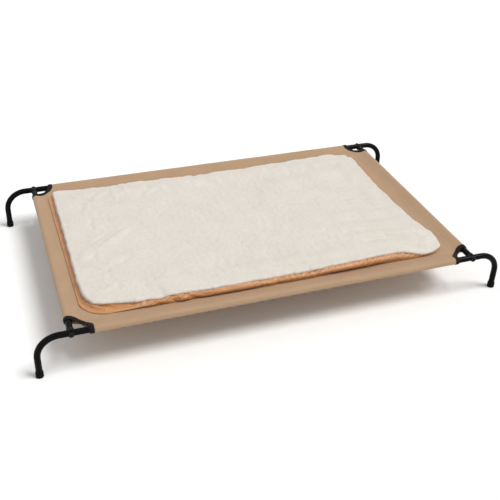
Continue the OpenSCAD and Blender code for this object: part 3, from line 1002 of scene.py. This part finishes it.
class COT_OT_stage(Operator):
    """Set the camera, a plain pale floor and soft studio light"""
    bl_idname = "cot.stage"
    bl_label = "Stage"

    def execute(self, context):
        stage = context.scene.cot.stage
        scene = context.scene
        scene.view_settings.view_transform = "Standard"

        data = bpy.data.cameras.new("camera")
        data.lens = stage.lens
        data.sensor_width = 36
        camera = bpy.data.objects.new("camera", data)
        turn = Matrix.Rotation(-stage.azimuth, 4, "Z")
        tilt = Matrix.Rotation(math.pi / 2 - stage.elevation, 4, "X")
        roll = Matrix.Rotation(stage.roll, 4, "Z")
        camera.matrix_world = Matrix.Translation(stage.camera) @ turn @ tilt @ roll
        scene.collection.objects.link(camera)
        scene.camera = camera

        # Wide, distant lamps light the floor and the object evenly
        for name, power, place, width in (
            ("key_light", stage.key, (1.4, -0.7, 2.9), 26),
            ("fill_light", stage.fill, (-2.6, -1.0, 3.0), 60),
        ):
            lamp = bpy.data.lights.new(name, "SUN")
            lamp.angle = math.radians(width)
            lamp.energy = power
            light = bpy.data.objects.new(name, lamp)
            light.location = place
            light.rotation_euler = (Vector((0, 0, 0.1)) - Vector(place)).to_track_quat("-Z", "Y").to_euler()
            scene.collection.objects.link(light)

        bm = bmesh.new()
        below = Matrix.Translation((0, 0, -FLOOR_DROP))
        bmesh.ops.create_grid(bm, x_segments=1, y_segments=1, size=FLOOR_HALF, matrix=below)
        floor = finished(bpy.data.materials.new("studio_floor"), {
            "Base Color": (*stage.floor, 1), "Roughness": 0.9, "Specular IOR Level": 0.1,
        })
        new_piece("studio_floor", bm, floor, smooth=False)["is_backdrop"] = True

        # The world lights evenly, and is plain white where the camera, gloss or glass sees it
        world = bpy.data.worlds.new("studio_world")
        world.use_nodes = True
        tree = world.node_tree
        path = add_node(tree, "ShaderNodeLightPath")
        seen = path.outputs["Is Camera Ray"]
        for ray in ("Is Glossy Ray", "Is Transmission Ray"):
            seen = add_node(tree, "ShaderNodeMath", {0: seen, 1: path.outputs[ray]}, operation="MAXIMUM")
        strength = add_node(tree, "ShaderNodeMapRange", {
            "Value": seen, "To Min": stage.ambient, "To Max": 1.0
        })
        sky = tree.nodes["Background"].inputs
        link(tree, (1, 1, 1, 1), sky["Color"])
        link(tree, strength, sky["Strength"])
        scene.world = world
        return {"FINISHED"}


class COT_OT_frame_finish(Operator):
    """Give the steel frame, its caps, saddles and fasteners their finish"""
    bl_idname = "cot.frame_finish"
    bl_label = "Frame finish"

    def execute(self, context):
        tones = context.scene.cot.frame_finish
        finishes = {
            "powder_coat": powder_coated_steel(tones.coat),
            "foot_rubber": moulded_polymer("moulded_rubber", tones.rubber, 0.75, 1.2),
            "saddle_nylon": moulded_polymer("moulded_nylon", tones.nylon, 0.5, 0.9),
            "bolt_black": machined_metal("black_oxide_steel", tones.oxide, 0.42, 0.8),
            "insert_brass": machined_metal("turned_brass", tones.brass, 0.3, 0.8),
        }
        for part in frame["record"]["subparts"]:
            if part["material_slot"] in finishes:
                materials = frame["nodes"][part["node"]].data.materials
                materials.clear()
                materials.append(finishes[part["material_slot"]])
        return {"FINISHED"}


class COT_OT_canvas_bed(Operator):
    """Stretch the canvas bed over the rails, as one cloth with a sleeve along each edge"""
    bl_idname = "cot.canvas_bed"
    bl_label = "Canvas bed"

    def execute(self, context):
        canvas = context.scene.cot.canvas
        bm = bmesh.new()
        layer = bm.loops.layers.uv.new("weave")
        add_bed_panel(bm, layer, canvas)
        for side in SIDES:
            add_sleeve_flap(bm, layer, canvas, side)
        bmesh.ops.remove_doubles(bm, verts=bm.verts, dist=0.02 * MM)
        bmesh.ops.recalc_face_normals(bm, faces=bm.faces)
        bed = new_piece("canvas_bed", bm, coated_canvas(canvas.colour))
        wall = bed.modifiers.new("Cloth thickness", "SOLIDIFY")
        wall.thickness = canvas.cloth
        wall.offset = 0
        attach(bed, "cot")
        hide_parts("canvas_panel", *[side + "_sleeve" for side in SIDES])
        return {"FINISHED"}


class COT_OT_corner_bindings(Operator):
    """Bind the cut corners of the canvas with black tape"""
    bl_idname = "cot.corner_bindings"
    bl_label = "Corner bindings"

    def execute(self, context):
        settings = context.scene.cot
        material = ribbed_tape(settings.binding.colour)
        for corner, ends in CORNERS.items():
            bm = bmesh.new()
            layer = bm.loops.layers.uv.new("weave")
            for side, end in ends:
                add_tape_half(bm, layer, settings.canvas, settings.binding, side, end)
            bmesh.ops.remove_doubles(bm, verts=bm.verts, dist=0.02 * MM)
            bmesh.ops.dissolve_degenerate(bm, edges=bm.edges, dist=0.01 * MM)
            bmesh.ops.recalc_face_normals(bm, faces=bm.faces)
            tape = new_piece(corner + "_tape", bm, material)
            wall = tape.modifiers.new("Tape thickness", "SOLIDIFY")
            wall.thickness = settings.binding.tape
            wall.offset = -1
            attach(tape, "cot")
            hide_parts(corner + "_binding")
        return {"FINISHED"}


class COT_OT_stitching(Operator):
    """Sew the hems of the sleeves and the binding tape"""
    bl_idname = "cot.stitching"
    bl_label = "Stitching"

    def execute(self, context):
        settings = context.scene.cot
        canvas, binding = settings.canvas, settings.binding
        shape = stitch_shape(settings.stitch)
        tape_lines = [tape_line(canvas, binding, *end) for ends in CORNERS.values() for end in ends]
        for name, lines, thread, slot in (
            ("hem_stitching", hem_lines(canvas), sewing_thread("canvas_thread", canvas.thread), "canvas"),
            ("tape_stitching", tape_lines, sewing_thread("tape_thread", binding.colour), "binding_tape"),
        ):
            bm = bmesh.new()
            for line in lines:
                add_stitches(bm, line, settings.stitch.pitch, shape)
            sewn = new_piece(name, bm, thread)
            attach(sewn, "cot")
        bpy.data.meshes.remove(shape)
        return {"FINISHED"}


class COT_OT_fleece_pad(Operator):
    """Make the loose pad: fleece on top, gathered satin round and under it"""
    bl_idname = "cot.fleece_pad"
    bl_label = "Fleece pad"

    def execute(self, context):
        pad = context.scene.cot.pad
        fleece, satin = pile_fleece(pad.fleece, pad.tuft), backing_satin(pad.satin)
        form = build_pad_form(pad)
        swell_pad(form, pad, satin)
        backing = satin_piece(form.copy(), pad, satin)
        top = fleece_piece(form, pad, fleece)
        for piece, slot, nodes in (
            (backing, "satin", ["pad_backing"]), (top, "fleece", ["pad_fill", "pad_fleece"]),
        ):
            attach(piece, "pad")
            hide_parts(*nodes)
        return {"FINISHED"}


class COT_OT_declare_cloth(Operator):
    """An empty step that changes nothing"""
    bl_idname = "cot.declare_cloth"
    bl_label = "Declare cloth"

    def execute(self, context):
        return {"FINISHED"}


class COT_PT_sidebar(Panel):
    """The cot's pieces and settings"""
    bl_idname = "COT_PT_sidebar"
    bl_label = "Raised pet cot"
    bl_space_type = "VIEW_3D"
    bl_region_type = "UI"
    bl_category = "Cot"

    def draw(self, context):
        for operator in OPERATORS:
            self.layout.operator(operator.bl_idname)
        for group in CotSettings.__annotations__:
            box = self.layout.box()
            box.label(text=group.replace("_", " ").capitalize())
            settings = getattr(context.scene.cot, group)
            for name in settings.__annotations__:
                box.prop(settings, name)


OPERATORS = (
    COT_OT_stage, COT_OT_frame_finish, COT_OT_canvas_bed, COT_OT_corner_bindings, COT_OT_stitching,
    COT_OT_fleece_pad, COT_OT_declare_cloth,
)
CLASSES = (
    FrameFinishSettings, CanvasSettings, BindingSettings, StitchSettings, PadSettings, StageSettings,
    CotSettings, *OPERATORS, COT_PT_sidebar,
)


def register():
    for cls in CLASSES:
        bpy.utils.register_class(cls)
    bpy.types.Scene.cot = PointerProperty(type=CotSettings)


def unregister():
    del bpy.types.Scene.cot
    for cls in reversed(CLASSES):
        bpy.utils.unregister_class(cls)


def main():
    register()
    bpy.ops.cot.stage()
    bpy.ops.cot.frame_finish()
    bpy.ops.cot.canvas_bed()
    bpy.ops.cot.corner_bindings()
    bpy.ops.cot.stitching()
    bpy.ops.cot.fleece_pad()
    bpy.ops.cot.declare_cloth()
    boxes = {"cad": CAD_BOX, "visual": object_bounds()}
    {name: [list(corner) for corner in box] for name, box in boxes.items()}


if __name__ == "__main__":
    main()
